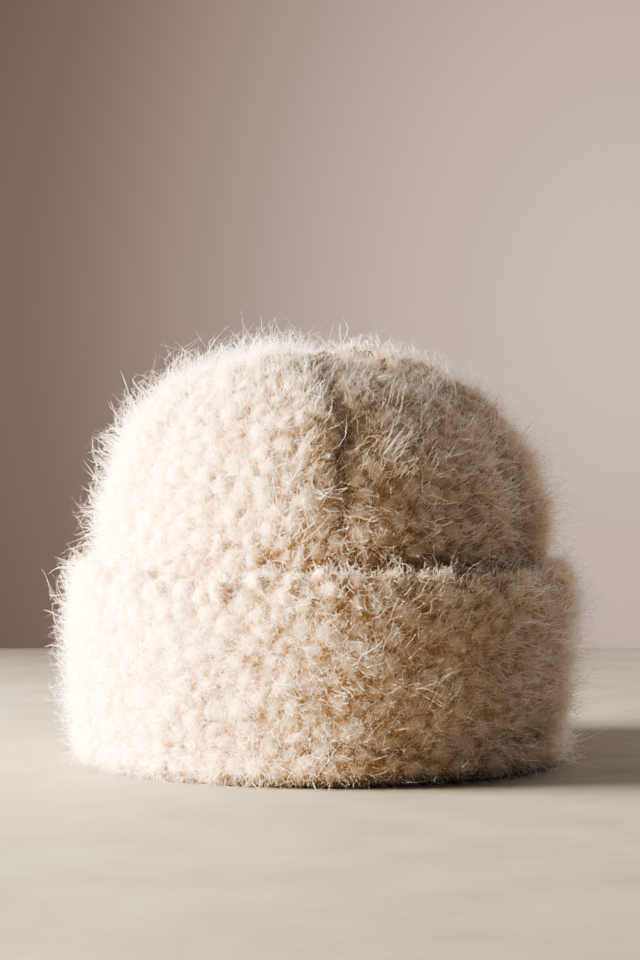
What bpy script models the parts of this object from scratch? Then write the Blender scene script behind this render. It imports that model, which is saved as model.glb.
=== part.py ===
"""Fluffy knitted beanie with a deep turned-up cuff, standing on the fold of its cuff.

Two pieces of one thick knit. The crown is a hollow dome of six gores, whose seams sink
into valleys that meet at the top. The cuff is the end of the same tube, folded up round
the crown's foot. The deep fuzz of both is raised from their outer faces as leaning locks.

Metres, +Z up. The front is at -Y, and the origin is on the floor under the middle.
"""

import math
import random
from collections import namedtuple

import bmesh
import bpy
import numpy as np
from mathutils import Matrix, Vector

MM = 0.001

# The knit: its thickness, and the puffs and tufts of its outer face
WALL = 6.5 * MM
GAP = 0.4 * MM
LOCK_PITCH = 7.6 * MM
LOCK_LENGTH = 6.8 * MM
LOCK_LEAN = 2.6 * MM
LONG_LOCK_SHARE = 0.14
LONG_LOCK = 1.4
SPREAD = 1.4 * MM
SEED = 11

# The crown: a straight wall inside the cuff, then a dome
CROWN_RADIUS = 92.5 * MM
DOME_FOOT = 80.0 * MM
DOME_RISE = 91.0 * MM
DOME_POWER = 2.4
TOP_SHIFT = -7.5 * MM
BARE_ABOVE_RIM = 1.0 * MM
CREASE_LOCK_SHARE = 0.45
CREASE_HEIGHT = 14.0 * MM
SEAM_LOCK_SHARE = 0.6

# Six gores: the first seam lies a little to the right of the front
GORES = 6
FIRST_SEAM = 7.0
SEAM_DEPTH = 9.5 * MM
SEAM_HALF_WIDTH = 5.0 * MM
SHOULDER_WIDTH = 17.0 * MM
SHOULDER_SHARE = 0.32
SEAM_STARTS = 62.0 * MM
SEAM_FULL = 100.0 * MM
SEAM_FADE_RADIUS = 26.0 * MM
INNER_SEAM_SHARE = 0.7
CROWN_COLUMNS = (72, 36, 18, 6)
LEAST_COLUMN_SHARE = 0.62
TOP_RING_SHARE = 0.6
INNER_COLUMNS = 36
INNER_PITCH = 13.0 * MM

# The cuff: its outer face from the fold up to the rim, then the fold's inner leg
Profile = namedtuple("Profile", "place radius height")
CUFF_PROFILE = (
    Profile("edge of the flat ring", 95.0 * MM, 0.0 * MM),
    Profile("roll of the fold", 99.3 * MM, 6.0 * MM),
    Profile("crease over the roll", 97.6 * MM, 13.5 * MM),
    Profile("lower band", 100.2 * MM, 25.0 * MM),
    Profile("middle", 101.0 * MM, 46.0 * MM),
    Profile("upper band", 100.4 * MM, 66.0 * MM),
    Profile("shoulder of the rim", 98.2 * MM, 76.0 * MM),
    Profile("crest of the rim", 94.6 * MM, 79.6 * MM),
)
CUFF_COLUMNS = 84
FOOT_HEIGHT = 12.0 * MM
FOOT_EDGE = 2.5 * MM
RIM_INNER_DROP = 2.2 * MM

# Slow waves round the cuff: each has its number of waves, its turn in degrees and its size
Wave = namedtuple("Wave", "count turn size")
RIM_WAVES = (Wave(1, 130.0, 1.2 * MM), Wave(3, 20.0, 1.0 * MM), Wave(5, 75.0, 0.5 * MM))
BAND_WAVES = (Wave(2, 90.0, 0.7 * MM), Wave(5, 10.0, 0.4 * MM), Wave(9, 40.0, 0.2 * MM))

CROWN_COLOUR = (0.80, 0.62, 0.48, 1.0)
CUFF_COLOUR = (0.84, 0.67, 0.53, 1.0)
KNIT_ROUGHNESS = 0.95

# A point of a wall's section, with its outward direction split into level and upward parts
Station = namedtuple("Station", "radius height out up")


def clear_scene():
    for obj in list(bpy.data.objects):
        bpy.data.objects.remove(obj)


def level_direction(azimuth):
    """The level direction at an azimuth in degrees: 0 is the front, 90 is +X."""
    turn = math.radians(azimuth)
    return Vector((math.sin(turn), -math.cos(turn), 0.0))


def wave_sum(waves, azimuth):
    return sum(w.size * math.cos(math.radians(w.count * azimuth - w.turn)) for w in waves)


def smooth_step(value, low, high):
    share = min(max((value - low) / (high - low), 0.0), 1.0)
    return share * share * (3.0 - 2.0 * share)


def stations_along(radii, heights, pitch):
    """Stations at equal steps of about one pitch along a section that runs up its outer side."""
    steps = np.hypot(np.diff(radii), np.diff(heights))
    length = np.concatenate([[0.0], np.cumsum(steps)])
    count = max(round(length[-1] / pitch), 1)
    wanted = np.linspace(0.0, length[-1], count + 1)
    slope_r = np.interp(wanted, length, np.gradient(radii, length))
    slope_z = np.interp(wanted, length, np.gradient(heights, length))
    size = np.hypot(slope_r, slope_z)
    return [
        Station(float(r), float(z), float(out), float(up))
        for r, z, out, up in zip(
            np.interp(wanted, length, radii),
            np.interp(wanted, length, heights),
            slope_z / size,
            -slope_r / size,
        )
    ]


def dome_stations(start, pitch, inset):
    """The dome's section from a start height to just short of its top, moved in by an inset."""
    turn = np.linspace(0.0, math.pi / 2, 1500)
    radii = CROWN_RADIUS * np.cos(turn) ** (2.0 / DOME_POWER)
    heights = DOME_FOOT + DOME_RISE * np.sin(turn) ** (2.0 / DOME_POWER)
    seen = heights >= start
    stations = stations_along(radii[seen], heights[seen], pitch)
    return [
        Station(s.radius - inset * s.out, s.height - inset * s.up, s.out, s.up)
        for s in stations
        if s.radius > pitch * TOP_RING_SHARE
    ]


def seam_distance(radius, azimuth):
    """The way round the crown from there to the nearest seam."""
    gore = 360.0 / GORES
    off_seam = abs((azimuth - FIRST_SEAM + gore / 2) % gore - gore / 2)
    return math.radians(off_seam) * radius


def seam_depth(station, azimuth):
    """How far the surface sinks there towards the nearest seam."""
    distance = seam_distance(station.radius, azimuth)
    valley = (1.0 - SHOULDER_SHARE) * math.exp(-((distance / SEAM_HALF_WIDTH) ** 2))
    shoulder = SHOULDER_SHARE * math.exp(-((distance / SHOULDER_WIDTH) ** 2))
    fade = smooth_step(station.height, SEAM_STARTS, SEAM_FULL)
    near_top = smooth_step(station.radius, 0.0, SEAM_FADE_RADIUS)
    return SEAM_DEPTH * fade * (0.45 + 0.55 * near_top) * (valley + shoulder)


def crown_point(station, azimuth, seam_share=1.0):
    depth = seam_share * seam_depth(station, azimuth)
    radius = station.radius - depth * station.out
    height = station.height - depth * station.up
    lean = TOP_SHIFT * max((height - DOME_FOOT) / DOME_RISE, 0.0) ** 3
    return level_direction(azimuth) * radius + Vector((lean, 0.0, height))


def cuff_point(station, azimuth):
    """The cuff's outer face: its waves grow from the flat ring up."""
    grown = smooth_step(station.height, 0.0, 20.0 * MM)
    radius = station.radius + grown * wave_sum(BAND_WAVES, azimuth)
    rise = 1.0 + wave_sum(RIM_WAVES, azimuth) / CUFF_PROFILE[-1].height
    return level_direction(azimuth) * radius + Vector((0.0, 0.0, station.height * rise))


def curve_through(points, steps=12):
    """Radii and heights of a smooth Catmull-Rom curve through a profile's points."""
    ends = [points[0], *points, points[-1]]
    radii, heights = [], []
    for a, b, c, d in zip(ends, ends[1:], ends[2:], ends[3:]):
        for t in np.linspace(0.0, 1.0, steps, endpoint=False):
            weights = (
                (-t + 2 * t**2 - t**3) / 2,
                (2 - 5 * t**2 + 3 * t**3) / 2,
                (t + 4 * t**2 - 3 * t**3) / 2,
                (t**3 - t**2) / 2,
            )
            radii.append(sum(w * p.radius for w, p in zip(weights, (a, b, c, d))))
            heights.append(sum(w * p.height for w, p in zip(weights, (a, b, c, d))))
    radii.append(points[-1].radius)
    heights.append(points[-1].height)
    return np.array(radii), np.array(heights)


def ring_of(bm, count, place):
    """A closed ring of points, one of them on the first seam."""
    return [bm.verts.new(place(FIRST_SEAM + 360.0 * k / count)) for k in range(count)]


def bridge(bm, wide, narrow):
    """Faces between two rings, the second with as many points as the first or a whole part of them."""
    step = len(wide) // len(narrow)
    faces = []
    for k in range(len(narrow)):
        edge = [wide[(k * step + i) % len(wide)] for i in range(step + 1)]
        faces.append(bm.faces.new(edge + [narrow[(k + 1) % len(narrow)], narrow[k]]))
    return faces


def columns_at(radius):
    """The most columns that still leave a lock at that radius wide enough."""
    for count in CROWN_COLUMNS:
        if 2 * math.pi * radius / count > LEAST_COLUMN_SHARE * LOCK_PITCH:
            return count
    return CROWN_COLUMNS[-1]


def scatter(bm, rings, rng):
    """Moves the points of some rings a little along the surface, so that no lock has a twin."""
    for ring in rings:
        for vert in ring:
            level = Vector((vert.co.x, vert.co.y, 0.0)).normalized()
            side = Vector((-level.y, level.x, 0.0))
            vert.co += side * rng.uniform(-SPREAD, SPREAD)
            vert.co.z += rng.uniform(-SPREAD, SPREAD) * level.length


def crown_lock_share(face, station):
    """Locks are short in the crease over the cuff's rim and beside a seam."""
    centre = face.calc_center_median()
    azimuth = math.degrees(math.atan2(centre.x, -centre.y))
    over_rim = station.height - CUFF_PROFILE[-1].height
    in_crease = 1.0 - smooth_step(over_rim, 0.0, CREASE_HEIGHT)
    by_seam = math.exp(-((seam_distance(station.radius, azimuth) / LOCK_PITCH) ** 2))
    crease = 1.0 - (1.0 - CREASE_LOCK_SHARE) * in_crease
    return crease * (1.0 - (1.0 - SEAM_LOCK_SHARE) * by_seam)


def raise_lock(bm, face, station, share, rng):
    """Pokes a face and draws its middle out into a lock that leans up the surface."""
    centre = face.calc_center_median()
    level = Vector((centre.x, centre.y, 0.0)).normalized()
    out = level * station.out + Vector((0.0, 0.0, max(station.up, 0.0)))
    out.normalize()
    side = Vector((-level.y, level.x, 0.0))
    uphill = out.cross(side) * (1.0 if out.cross(side).z > 0.0 else -1.0)
    length = share * LOCK_LENGTH * rng.uniform(0.7, 1.15)
    if rng.random() < LONG_LOCK_SHARE:
        length *= LONG_LOCK
    tip = bmesh.ops.poke(bm, faces=[face])["verts"][0]
    tip.co += out * length + uphill * share * LOCK_LEAN * rng.uniform(0.5, 1.3)
    tip.co += side * rng.uniform(-SPREAD, SPREAD)


def middle_station(low, high):
    return Station(*((a + b) / 2 for a, b in zip(low, high)))


def crown_mesh(rng):
    bm = bmesh.new()
    rim = CUFF_PROFILE[-1].height + BARE_ABOVE_RIM
    foot = Station(CROWN_RADIUS, FOOT_HEIGHT + GAP, 1.0, 0.0)
    shown = dome_stations(rim, LOCK_PITCH, 0.0)
    foot_ring = ring_of(bm, CROWN_COLUMNS[0], lambda a: crown_point(foot, a))
    rings = [ring_of(bm, columns_at(s.radius), lambda a, s=s: crown_point(s, a)) for s in shown]
    bridge(bm, foot_ring, rings[0])
    scatter(bm, rings[1:], rng)
    tufted = []
    for low, high, wide, narrow in zip(shown, shown[1:], rings, rings[1:]):
        tufted += [(face, middle_station(low, high)) for face in bridge(bm, wide, narrow)]
    top = Station(0.0, DOME_FOOT + DOME_RISE, 0.0, 1.0)
    tufted.append((bm.faces.new(rings[-1]), top))

    lining = [Station(CROWN_RADIUS - WALL, FOOT_HEIGHT + GAP, 1.0, 0.0)]
    lining += dome_stations(DOME_FOOT - 10.0 * MM, INNER_PITCH, WALL)
    inner = [
        ring_of(
            bm,
            min(columns_at(s.radius), INNER_COLUMNS),
            lambda a, s=s: crown_point(s, a, INNER_SEAM_SHARE),
        )
        for s in lining
    ]
    bridge(bm, foot_ring, inner[0])
    for wide, narrow in zip(inner, inner[1:]):
        bridge(bm, wide, narrow)
    bm.faces.new(inner[-1])

    for face, station in tufted:
        raise_lock(bm, face, station, crown_lock_share(face, station), rng)
    return bm


def cuff_mesh(rng):
    bm = bmesh.new()
    shown = stations_along(*curve_through(CUFF_PROFILE), LOCK_PITCH)
    inner_radius = CROWN_RADIUS + GAP
    leg_radius = CROWN_RADIUS - WALL
    crest = CUFF_PROFILE[-1].height
    flat_inner = leg_radius + FOOT_EDGE

    def plain_ring(radius, height):
        return ring_of(
            bm, CUFF_COLUMNS, lambda a: level_direction(a) * radius + Vector((0.0, 0.0, height))
        )

    half_lock = 180.0 / CUFF_COLUMNS
    outer = [
        ring_of(bm, CUFF_COLUMNS, lambda a, s=s, k=k: cuff_point(s, a + k % 2 * half_lock))
        for k, s in enumerate(shown)
    ]
    scatter(bm, outer[1:-1], rng)
    tufted = []
    for k, (lower, upper) in enumerate(zip(outer, outer[1:])):
        staggered = upper[1:] + upper[:1] if k % 2 else upper
        station = middle_station(shown[k], shown[k + 1])
        tufted += [(face, station) for face in bridge(bm, lower, staggered)]
    inside = [
        plain_ring(inner_radius, crest - RIM_INNER_DROP),
        plain_ring(inner_radius, FOOT_HEIGHT),
        plain_ring(leg_radius, FOOT_HEIGHT),
        plain_ring(leg_radius, FOOT_EDGE),
        plain_ring(flat_inner, 0.0),
    ]
    rings = [outer[-1], *inside, outer[0]]
    for first, second in zip(rings, rings[1:]):
        bridge(bm, first, second)

    for face, station in tufted:
        raise_lock(bm, face, station, 1.0, rng)
    return bm


def knit_material(name, colour):
    material = bpy.data.materials.new(name)
    material.use_nodes = True
    shader = material.node_tree.nodes["Principled BSDF"]
    shader.inputs["Base Color"].default_value = colour
    shader.inputs["Roughness"].default_value = KNIT_ROUGHNESS
    shader.inputs["Metallic"].default_value = 0.0
    return material


def make_piece(name, bm, colour, collection):
    bmesh.ops.recalc_face_normals(bm, faces=bm.faces)
    mesh = bpy.data.meshes.new(name)
    bm.to_mesh(mesh)
    bm.free()
    mesh.shade_smooth()
    mesh.set_sharp_from_angle(angle=math.radians(60.0))
    mesh.materials.append(knit_material(name + "_knit", colour))
    obj = bpy.data.objects.new(name, mesh)
    collection.objects.link(obj)
    return obj


def stand_on_origin(pieces):
    """Moves the meshes together, so that the origin is under the middle of their box."""
    corners = np.array([vert.co for piece in pieces for vert in piece.data.vertices])
    low, high = corners.min(axis=0), corners.max(axis=0)
    shift = Vector((-(low[0] + high[0]) / 2, -(low[1] + high[1]) / 2, -low[2]))
    for piece in pieces:
        piece.data.transform(Matrix.Translation(shift))


def main():
    clear_scene()
    beanie = bpy.data.collections.new("beanie")
    bpy.context.scene.collection.children.link(beanie)
    rng = random.Random(SEED)
    crown = make_piece("crown", crown_mesh(rng), CROWN_COLOUR, beanie)
    cuff = make_piece("cuff", cuff_mesh(rng), CUFF_COLOUR, beanie)
    stand_on_origin((crown, cuff))


main()
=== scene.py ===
# %% [markdown]
# # A fluffy knitted beanie
#
# The hat is one thick knit of brushed wool: a hollow crown of six gores, and the end of the
# same tube turned up round it as a deep cuff. Its surface has three scales. Soft puffs of
# yarn lie side by side, a short curly fuzz covers them, and longer wisps stand out of it.
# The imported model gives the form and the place, and this lesson builds the three scales on it.

# %% Load the frame
import math
from collections import namedtuple

import bpy
import numpy as np
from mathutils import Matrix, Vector, noise
from mathutils.kdtree import KDTree


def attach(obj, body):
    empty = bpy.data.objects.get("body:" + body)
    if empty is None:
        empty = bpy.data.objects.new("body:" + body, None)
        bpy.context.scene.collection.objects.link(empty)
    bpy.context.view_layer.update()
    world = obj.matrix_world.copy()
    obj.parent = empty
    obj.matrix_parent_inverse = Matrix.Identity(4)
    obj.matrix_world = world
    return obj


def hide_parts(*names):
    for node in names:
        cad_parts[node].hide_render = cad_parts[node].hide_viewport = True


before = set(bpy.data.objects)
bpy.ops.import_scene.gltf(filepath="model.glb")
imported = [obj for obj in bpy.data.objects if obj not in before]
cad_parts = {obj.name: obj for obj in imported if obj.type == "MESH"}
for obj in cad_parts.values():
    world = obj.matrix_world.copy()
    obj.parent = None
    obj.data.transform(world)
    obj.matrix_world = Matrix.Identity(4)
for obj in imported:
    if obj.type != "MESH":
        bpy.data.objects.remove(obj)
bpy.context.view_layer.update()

MM = 0.001

# %% [markdown]
# ## The camera
#
# The hat is seen from a little over its cuff's rim, through a long lens. A long lens from about
# a metre away keeps the rim nearly straight, so the camera's height over the floor matters more
# than its distance. The camera looks level, which keeps upright lines upright.

# %% Place the camera
EYE_HEIGHT = 0.116
EYE_DISTANCE = 0.950
LENS_MM = 85.0

camera_data = bpy.data.cameras.new("camera")
camera_data.lens = LENS_MM
camera_data.sensor_width = 36.0
camera_data.clip_start = 0.01
camera = bpy.data.objects.new("camera", camera_data)
camera.location = (0.0, -EYE_DISTANCE, EYE_HEIGHT)
camera.rotation_euler = (math.radians(90.0), 0.0, 0.0)
bpy.context.scene.collection.objects.link(camera)
bpy.context.scene.camera = camera
bpy.context.scene.view_settings.view_transform = "AgX"
bpy.context.scene.view_settings.look = "AgX - Very High Contrast"
print("camera", round(EYE_HEIGHT / EYE_DISTANCE, 3), "rise over distance")

# %% [markdown]
# ## Small builders for node trees
#
# Materials and Geometry Nodes are both trees of nodes. A few helpers keep them readable: one
# sets a socket, whether it takes a plain value or another node's output, and the others add
# a node and return the output that the next one needs.

# %% Define the node helpers
def plug(tree, source, socket):
    """Links an output to a socket, or sets the socket to a plain value."""
    if isinstance(source, bpy.types.NodeSocket):
        tree.links.new(source, socket)
    else:
        socket.default_value = source


def add_node(tree, kind, sockets=None, **settings):
    node = tree.nodes.new(kind)
    for name, value in settings.items():
        setattr(node, name, value)
    for name, source in (sockets or {}).items():
        plug(tree, source, node.inputs[name])
    return node


def scalar(tree, operation, *sources):
    sockets = dict(enumerate(sources))
    return add_node(tree, "ShaderNodeMath", sockets, operation=operation).outputs[0]


def vector(tree, operation, *sources):
    sockets = dict(enumerate(sources))
    return add_node(tree, "ShaderNodeVectorMath", sockets, operation=operation).outputs["Vector"]


def scaled(tree, source, factor):
    sockets = {0: source, "Scale": factor}
    return add_node(tree, "ShaderNodeVectorMath", sockets, operation="SCALE").outputs["Vector"]


def mixed_vector(tree, factor, first, second):
    """The first where the factor is 0, the second where it is 1."""
    way = vector(tree, "SUBTRACT", second, first)
    return vector(tree, "ADD", first, scaled(tree, way, factor))


def mixed_colour(tree, factor, first, second):
    sockets = {0: factor, 6: first, 7: second}
    return add_node(tree, "ShaderNodeMix", sockets, data_type="RGBA").outputs[2]


def ramp(tree, value, low, high, start=0.0, end=1.0, shape="LINEAR"):
    """Goes from start to end while a value goes from low to high, and is level beyond them."""
    sockets = {"Value": value, "From Min": low, "From Max": high, "To Min": start, "To Max": end}
    return add_node(tree, "ShaderNodeMapRange", sockets, interpolation_type=shape).outputs[0]


def new_material(name):
    material = bpy.data.materials.new(name)
    material.use_nodes = True
    material.node_tree.nodes.clear()
    return material, material.node_tree


def show_by(tree, shader):
    """Ends a material's tree with the shader that it shows."""
    out = tree.nodes.new("ShaderNodeOutputMaterial")
    plug(tree, shader, out.inputs["Surface"])


print("node helpers ready")

# %% [markdown]
# ## The shape of the knit
#
# Both pieces are turned shapes bent by a few rules. A station is one point of a wall's
# section, with its outward direction. The crown's section is a superellipse, rounder at the
# shoulder than a circle, over a straight wall. Its six seams are valleys: a narrow one where
# the stitches are drawn together, in a broad one where the gores turn down to them. Wool is
# never quite even, so the seams stray and differ in depth, the gores sag between them, the
# crown is pinched in over the rim, and the cuff flares and waves. Each is a rule of its own.

# %% Define the sections
CROWN_RADIUS = 92.5 * MM
WALL = 6.5 * MM
GAP = 0.4 * MM
FOOT_HEIGHT = 12.0 * MM
DOME_FOOT = 80.0 * MM
DOME_RISE = 91.0 * MM
DOME_POWER = 2.4
TOP_SHIFT = -10.0 * MM

Section = namedtuple("Section", "radius height out up")
Profile = namedtuple("Profile", "place radius height")
CUFF_PROFILE = (
    Profile("edge of the flat ring", 95.0 * MM, 0.0 * MM),
    Profile("roll of the fold", 99.3 * MM, 6.0 * MM),
    Profile("crease over the roll", 97.6 * MM, 13.5 * MM),
    Profile("lower band", 100.2 * MM, 25.0 * MM),
    Profile("middle", 101.0 * MM, 46.0 * MM),
    Profile("upper band", 100.4 * MM, 66.0 * MM),
    Profile("shoulder of the rim", 98.2 * MM, 76.0 * MM),
    Profile("crest of the rim", 94.6 * MM, 79.6 * MM),
)


def smooth_step(value, low, high):
    share = np.clip((value - low) / (high - low), 0.0, 1.0)
    return share * share * (3.0 - 2.0 * share)


def section_along(radii, heights, pitch):
    """A section resampled at equal steps of about one pitch, with its outward directions."""
    length = np.concatenate([[0.0], np.cumsum(np.hypot(np.diff(radii), np.diff(heights)))])
    wanted = np.linspace(0.0, length[-1], max(round(length[-1] / pitch), 1) + 1)
    slope_r = np.interp(wanted, length, np.gradient(radii, length))
    slope_z = np.interp(wanted, length, np.gradient(heights, length))
    size = np.hypot(slope_r, slope_z)
    return Section(
        np.interp(wanted, length, radii),
        np.interp(wanted, length, heights),
        slope_z / size,
        -slope_r / size,
    )


def dome_section(pitch, inset):
    """The crown from its foot to its top, moved in by an inset along its own directions."""
    turn = np.linspace(0.0, math.pi / 2, 2000)
    radii = np.append(CROWN_RADIUS, CROWN_RADIUS * np.cos(turn) ** (2.0 / DOME_POWER))
    heights = np.append(FOOT_HEIGHT + GAP, DOME_FOOT + DOME_RISE * np.sin(turn) ** (2.0 / DOME_POWER))
    s = section_along(radii, heights, pitch)
    return Section(s.radius - inset * s.out, s.height - inset * s.up, s.out, s.up)


def curve_through(points, steps=24):
    """Radii and heights of a smooth curve through a profile's points, each passed exactly."""
    r = np.array([points[0].radius, *(p.radius for p in points), points[-1].radius])
    z = np.array([points[0].height, *(p.height for p in points), points[-1].height])
    t = np.linspace(0.0, 1.0, steps, endpoint=False)[:, None]
    weights = np.hstack(
        [-t + 2 * t**2 - t**3, 2 - 5 * t**2 + 3 * t**3, t + 4 * t**2 - 3 * t**3, t**3 - t**2]
    ) / 2
    radii = [weights @ r[k : k + 4] for k in range(len(r) - 3)]
    heights = [weights @ z[k : k + 4] for k in range(len(z) - 3)]
    return np.append(np.concatenate(radii), r[-1]), np.append(np.concatenate(heights), z[-1])


dome = dome_section(10 * MM, 0.0)
print("dome", len(dome.radius), "stations, top at", round(float(dome.height.max()), 4))

# %% Bend the sections into surfaces
GORES = 6
FIRST_SEAM = math.radians(7.0)
SEAM_DEPTH = 9.5 * MM
SEAM_HALF_WIDTH = 5.0 * MM
SHOULDER_WIDTH = 17.0 * MM
SHOULDER_SHARE = 0.32
SEAM_STARTS = 62.0 * MM
SEAM_FULL = 100.0 * MM
SEAM_FADE_RADIUS = 26.0 * MM
SEAM_AT_TOP = 0.45
INNER_SEAM_SHARE = 0.7
VALLEY_STARTS = 78.0 * MM
VALLEY_FULL = 122.0 * MM
SEAM_SHARES = (0.9, 1.7, 1.0, 1.1, 1.0, 1.0)
GORE_SAGS = (1.2 * MM, 6.8 * MM, -1.5 * MM, 1.5 * MM, 2.5 * MM, 4.6 * MM)

PINCH = 3.0 * MM
PINCH_HEIGHT = 83.0 * MM
PINCH_REACH = 9 * MM
FREE_SIDE = math.radians(35.0)
FLARE = 3.2 * MM
FLARE_STARTS = 40.0 * MM
FLARE_FULL = 74.0 * MM
BAND_WAVES_FULL = 20.0 * MM

WANDERS = ((0.028, 13 * MM, 0.0), (0.014, 4.7 * MM, 1.0))
Wave = namedtuple("Wave", "count turn size")
RIM_WAVES = (
    Wave(1, 195.0, 2.2 * MM),
    Wave(3, 20.0, 1.0 * MM),
    Wave(5, 75.0, 0.5 * MM),
    Wave(29, 50.0, 0.7 * MM),
    Wave(47, 10.0, 0.6 * MM),
)
BAND_WAVES = (Wave(2, 90.0, 0.7 * MM), Wave(5, 10.0, 0.4 * MM), Wave(9, 40.0, 0.2 * MM))


def seam_distance(radius, azimuth):
    gore = 2 * math.pi / GORES
    return np.abs((azimuth - FIRST_SEAM + gore / 2) % gore - gore / 2) * radius


def seam_wander(height):
    """How far the seams stray from a straight meridian, as an angle."""
    return sum(turn * np.sin(height / length + start) for turn, length, start in WANDERS)


def seam_share(azimuth):
    place = (azimuth - FIRST_SEAM) / (2 * math.pi / GORES)
    return np.array(SEAM_SHARES)[np.round(place).astype(int) % GORES]


def gore_sag(azimuth):
    """How far a gore is sunk, most in its middle. The list starts left of the front seam."""
    place = (azimuth - FIRST_SEAM) / (2 * math.pi / GORES) + 1.0
    sag = np.array(GORE_SAGS)[np.floor(place).astype(int) % GORES]
    return sag * np.sin(math.pi * (place % 1.0))


def seam_depth(radius, height, azimuth):
    distance = seam_distance(radius, azimuth + seam_wander(height))
    valley = (1.0 - SHOULDER_SHARE) * np.exp(-((distance / SEAM_HALF_WIDTH) ** 2))
    valley = valley * smooth_step(height, VALLEY_STARTS, VALLEY_FULL)
    shoulder = SHOULDER_SHARE * np.exp(-((distance / SHOULDER_WIDTH) ** 2))
    fade = smooth_step(height, SEAM_STARTS, SEAM_FULL)
    near_top = smooth_step(radius, 0.0, SEAM_FADE_RADIUS)
    depth = SEAM_DEPTH * seam_share(azimuth) * (SEAM_AT_TOP + (1.0 - SEAM_AT_TOP) * near_top)
    return fade * (depth * (valley + shoulder) + near_top * gore_sag(azimuth))


def on_right(azimuth):
    """From 0 at the back left of the hat to 1 at its right, where the cuff stands off the crown."""
    return (0.5 + 0.5 * np.cos(azimuth - FREE_SIDE)) ** 2


def placed(radius, height, azimuth, shift=0.0):
    return np.stack([np.sin(azimuth) * radius + shift, -np.cos(azimuth) * radius, height], axis=-1)


def crown_surface(radius, height, out, up, azimuth, share=1.0):
    pinch = PINCH * on_right(azimuth) * np.exp(-(((height - PINCH_HEIGHT) / PINCH_REACH) ** 2))
    depth = share * (seam_depth(radius, height, azimuth) + pinch)
    height = height - depth * up
    lean = TOP_SHIFT * np.maximum((height - DOME_FOOT) / DOME_RISE, 0.0) ** 3
    return placed(radius - depth * out, height, azimuth, lean)


def crown_lining(radius, height, out, up, azimuth):
    return crown_surface(radius, height, out, up, azimuth, INNER_SEAM_SHARE)


def wave_sum(waves, azimuth):
    return sum(w.size * np.cos(w.count * azimuth - math.radians(w.turn)) for w in waves)


def cuff_surface(radius, height, out, up, azimuth):
    grown = smooth_step(height, 0.0, BAND_WAVES_FULL)
    rise = 1.0 + wave_sum(RIM_WAVES, azimuth) / CUFF_PROFILE[-1].height
    flare = FLARE * (0.5 + 0.5 * np.sin(azimuth)) * smooth_step(height, FLARE_STARTS, FLARE_FULL)
    return placed(radius + grown * wave_sum(BAND_WAVES, azimuth) + flare, height * rise, azimuth)


print("a seam is", round(float(seam_depth(0.08, 0.12, FIRST_SEAM)) * 1000, 1), "mm deep")

# %% [markdown]
# ## Puffs of yarn
#
# Brushed yarn knits up into soft puffs, about as wide as a pea, with dark gaps between
# them. They stand in rows and columns that the eye only half sees. Each puff gets a centre
# near its place in the knit, and a point of the surface rises by how much nearer it is to its
# own puff's centre than to the next one. The same number says how deep in a gap it is, which
# the material reads later for its colour: the yarn's own browner colour in the gaps, with
# painted shade added to it. Noise bends the puffs' edges, and its seed is fixed, because it
# would otherwise start from the clock and be new on each run.

# %% Set out the puffs
PUFF_PITCH = 8.4 * MM
PUFF_HEIGHT = 3.3 * MM
PUFF_JITTER = 0.47
PUFF_EDGE = 0.6
PUFF_SWELL = 1.2 * MM
PUFF_DOMING = 0.45
PUFF_BRIM = 0.6
LOWEST_PUFF = 0.65
PUFF_SPREAD = 0.6
WARP_SIZE = 6.0 * MM
WARP_DEPTH = 1.7 * MM
LUMP_SIZE = 2.6 * MM
LUMP_DEPTH = 0.55 * MM
NOISE_SEED = 5
NEIGHBOURS = 4

noise.seed_set(NOISE_SEED)


def puff_centres(section, surface, rng, stagger, shown):
    """Centres in rows along a section, as many round each row as fit, shifted a little at random."""
    rows = []
    for row, (r, z, out, up) in enumerate(zip(*section)):
        if not shown(r, z):
            continue
        count = GORES * max(round(2 * math.pi * r / (GORES * PUFF_PITCH)), 1)
        shift = 0.5 + stagger * (row % 2) + rng.uniform(-PUFF_JITTER, PUFF_JITTER, count)
        drift = rng.uniform(-PUFF_JITTER, PUFF_JITTER, count) * PUFF_PITCH
        turn = FIRST_SEAM + (np.arange(count) + shift) * 2 * math.pi / count
        rows.append(surface(r - drift * up, z + drift * out, out, up, turn))
    return np.concatenate(rows)


def noise_field(points, size):
    return np.array([noise.noise_vector(Vector(p)) for p in (points / size).tolist()])


def puff_field(points, centres, rng):
    """How far each point is inside its puff, from 0 in a gap to 1, its tone and the way out of it."""
    tree = KDTree(len(centres))
    for k, centre in enumerate(centres):
        tree.insert(centre, k)
    tree.balance()
    swell = rng.uniform(-PUFF_SWELL, PUFF_SWELL, len(centres))
    bent = points + noise_field(points, WARP_SIZE) * WARP_DEPTH
    found = [tree.find_n(p, NEIGHBOURS) for p in bent.tolist()]
    index = np.array([[f[1] for f in near] for near in found])
    apart = np.array([[f[2] for f in near] for near in found]) - swell[index]
    order = np.argsort(apart, axis=1)
    rows = np.arange(len(points))
    nearest = apart[rows, order[:, 0]]
    second = apart[rows, order[:, 1]]
    own = index[rows, order[:, 0]]
    inside = np.clip((second - nearest) / (PUFF_EDGE * PUFF_PITCH), 0.0, 1.0)
    tone = rng.uniform(0.0, 1.0, len(centres))[own]
    return inside, tone, points - centres[own]


def puff_rise(points, inside, tone, off_puff):
    """A rounded rise for each puff, a little lumpy, and taller for some puffs than for others."""
    rounded = np.sqrt(np.clip(inside * (2.0 - inside), 0.0, 1.0))
    outward = np.linalg.norm(off_puff, axis=1) / (PUFF_BRIM * PUFF_PITCH)
    slope = 1.0 - PUFF_DOMING * np.clip(outward, 0.0, 1.0) ** 2
    lumps = noise_field(points, LUMP_SIZE)[:, 0] * LUMP_DEPTH
    return PUFF_HEIGHT * rounded * slope * (LOWEST_PUFF + PUFF_SPREAD * tone) + lumps


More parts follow.
